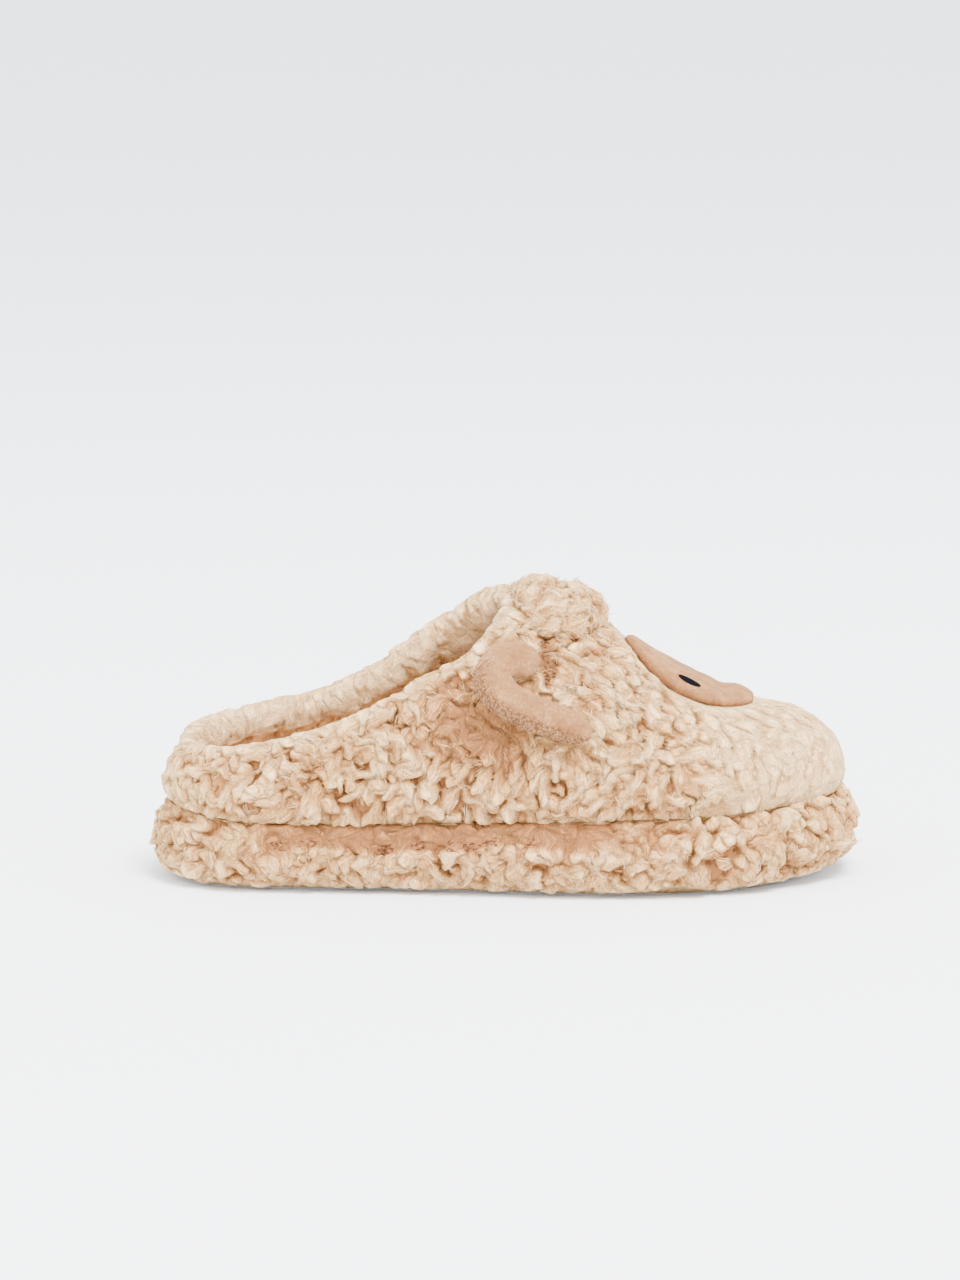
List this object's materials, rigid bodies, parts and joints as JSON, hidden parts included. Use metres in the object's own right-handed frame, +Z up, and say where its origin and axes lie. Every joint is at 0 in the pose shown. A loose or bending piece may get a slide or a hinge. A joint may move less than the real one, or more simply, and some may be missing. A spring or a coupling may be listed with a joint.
{
  "type": "plush slipper",
  "caption": "Right-foot plush mule slipper with a fleece-wrapped sole, a padded animal face on the vamp, hooked stuffed ears and a curly topknot.",
  "frame": {"origin": "on the floor under the middle of the slipper's last, on the underside of the outsole", "axes": "+X towards the toe, +Y towards the medial side, +Z up; the lateral side faces -Y"},
  "size_m": [0.26, 0.107, 0.111],
  "materials": {
    "curly_fleece": "curly sherpa pile, matt",
    "wrap_fleece": "curly sherpa pile over foam, matt",
    "lining_plush": "short brushed pile, matt",
    "topknot_fleece": "long curls, matt",
    "face_velour": "short velour nap",
    "ear_velour": "short velour nap",
    "eye_thread": "satin embroidery thread",
    "sole_sheet": "fine dotted non-slip sheet"
  },
  "bodies": {
    "root": {"outsole": "sole_sheet", "midsole_wrap": "wrap_fleece", "insole": "lining_plush", "upper": "curly_fleece", "topknot": "topknot_fleece", "face_patch": "face_velour", "eye_lateral": "eye_thread", "eye_medial": "eye_thread", "ear_lateral": "ear_velour", "ear_medial": "ear_velour"}
  },
  "joints": []
}
